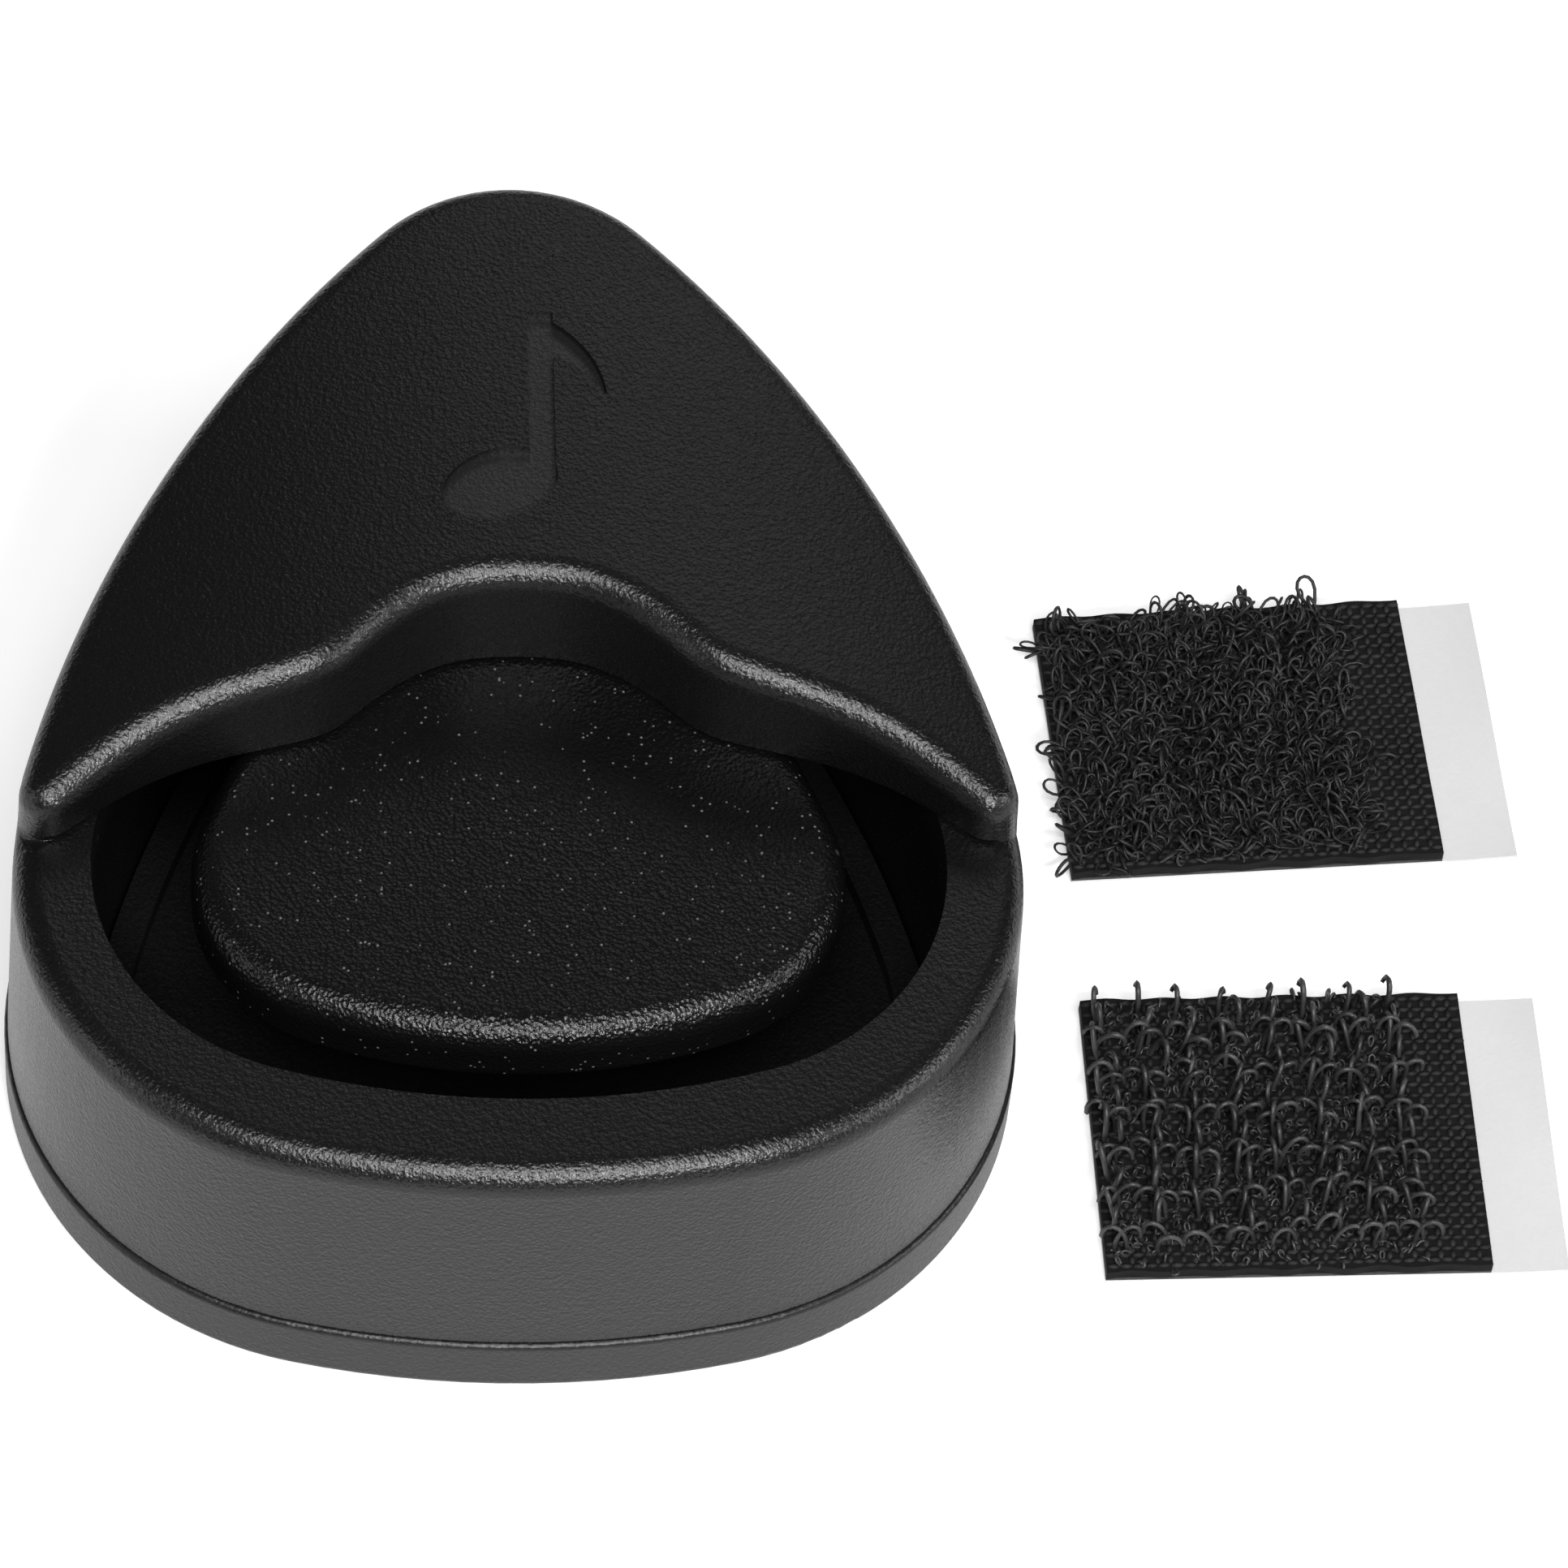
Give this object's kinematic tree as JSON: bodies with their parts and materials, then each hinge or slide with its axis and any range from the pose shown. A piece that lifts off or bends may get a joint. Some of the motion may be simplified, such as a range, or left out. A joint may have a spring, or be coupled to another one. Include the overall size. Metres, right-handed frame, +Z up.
{
  "type": "pick_holder",
  "caption": "Pocket-sized guitar pick holder: pick-shaped black shell with a half hood, spring-lifted follower and two pieces of self-adhesive hook-and-loop tape",
  "frame": {"origin": "underside of the base plate, on the axis of the follower's square guide post", "axes": "+Z up out of the base, -Y towards the open front, +Y towards the narrow end under the hood, +X to the right seen from the front"},
  "size_m": [0.0545, 0.0403, 0.0171],
  "materials": {
    "shell": "black, fine spark-eroded texture",
    "base": "black, fine spark-eroded texture",
    "follower": "black, coarser sparkling texture",
    "spring": "drawn stainless wire",
    "loop_cloth": "black knitted loops",
    "hook_cloth": "black woven cloth with nylon hooks",
    "glue": "soft black adhesive",
    "liner": "white siliconised paper"
  },
  "bodies": {
    "holder": {"housing": "shell", "base_plate": "base", "follower_spring": "spring"},
    "follower": {"follower": "follower"},
    "loop_backing": {"loop_liner": "liner"},
    "loop_patch": {"loop_adhesive": "glue", "loop_tape": "loop_cloth"},
    "hook_backing": {"hook_liner": "liner"},
    "hook_patch": {"hook_adhesive": "glue", "hook_tape": "hook_cloth"}
  },
  "joints": [
    {"name": "follower_press", "type": "slide", "parent": "holder", "child": "follower", "axis": [0, 0, -1], "range_m": [0, 0.004], "stiffness_N_per_m": 150, "springref_m": -0.006, "deforming": ["follower_spring"]},
    {"name": "loop_liner_lift", "type": "slide", "parent": "holder", "child": "loop_backing", "axis": [0, 0, 1], "range_m": [0, 0.05]},
    {"name": "loop_peel", "type": "slide", "parent": "loop_backing", "child": "loop_patch", "axis": [0, 0, 1], "range_m": [0, 0.05]},
    {"name": "hook_liner_lift", "type": "slide", "parent": "holder", "child": "hook_backing", "axis": [0, 0, 1], "range_m": [0, 0.05]},
    {"name": "hook_peel", "type": "slide", "parent": "hook_backing", "child": "hook_patch", "axis": [0, 0, 1], "range_m": [0, 0.05]}
  ]
}
